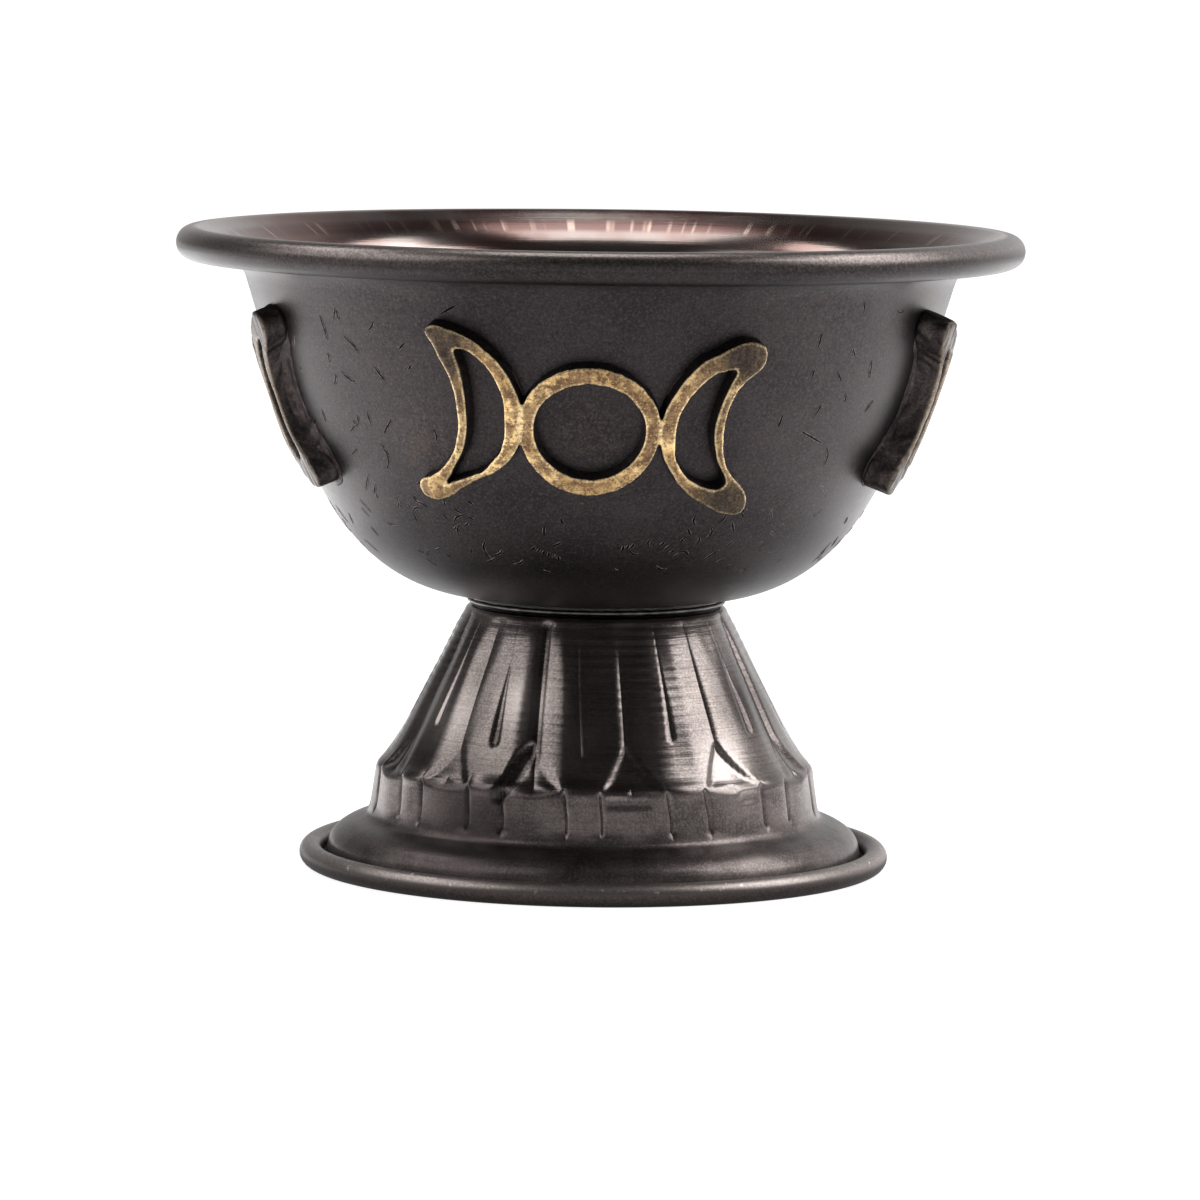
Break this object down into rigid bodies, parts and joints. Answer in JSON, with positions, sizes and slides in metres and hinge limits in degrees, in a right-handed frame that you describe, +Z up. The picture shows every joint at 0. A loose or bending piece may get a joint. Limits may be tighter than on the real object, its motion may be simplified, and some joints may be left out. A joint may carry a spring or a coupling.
{
  "type": "ritual chalice",
  "caption": "Low copper chalice: wide round bowl with a curled rim, on a fluted hollow foot, with cast triple-moon badges round the wall.",
  "frame": {"origin": "centre of the ring that the foot stands on, at table height", "axes": "+Z up the chalice's axis to the rim, +X to the right and -Y to the front of the picture"},
  "size_m": [0.102, 0.102, 0.077],
  "materials": {
    "dark_copper": "oxidised brown-black copper, satin outside and glossy red-brown inside",
    "polished_copper": "oxidised copper, polished over fine spinning lines",
    "worn_brass": "cast brass, oxidised brown and worn to gold at the edges",
    "solder": "dull grey solder"
  },
  "bodies": {
    "root": {"bowl": "dark_copper", "foot": "polished_copper", "neck_solder": "solder", "triple_moon_front": "worn_brass", "moon_solder_front": "solder", "triple_moon_right": "worn_brass", "moon_solder_right": "solder", "triple_moon_back": "worn_brass", "moon_solder_back": "solder", "triple_moon_left": "worn_brass", "moon_solder_left": "solder"}
  },
  "joints": []
}
